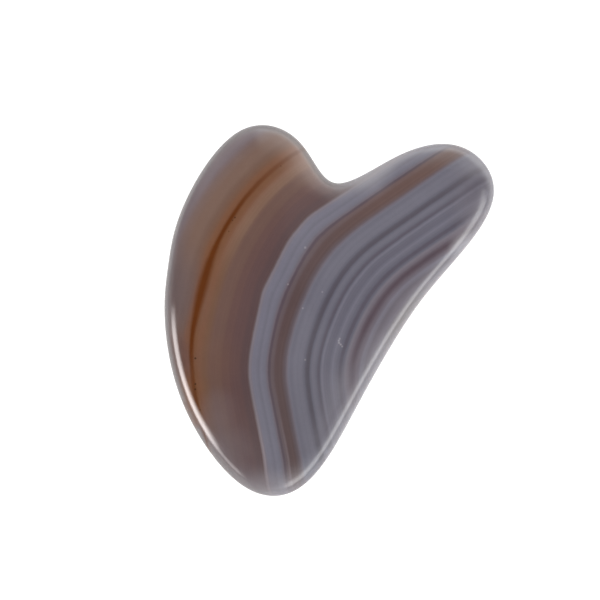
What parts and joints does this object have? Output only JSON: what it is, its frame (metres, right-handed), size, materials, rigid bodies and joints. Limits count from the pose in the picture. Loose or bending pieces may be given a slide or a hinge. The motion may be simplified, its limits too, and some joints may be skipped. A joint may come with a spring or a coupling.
{
  "type": "heart-shaped agate scraping stone",
  "caption": "Flat heart-shaped scraping stone (gua sha) of polished banded agate, with unequal lobes, a notch between them, a blunt point and a fully rounded rim.",
  "frame": {"origin": "middle of the base of the bounding box, on the flat back face that the stone lies on", "axes": "+Z is out of the front face, +Y runs from the blunt point towards the lobes, and +X towards the longer lobe"},
  "size_m": [0.0698, 0.0786, 0.0065],
  "materials": {
    "banded_agate": "polished"
  },
  "bodies": {
    "root": {"agate_stone": "banded_agate"}
  },
  "joints": []
}
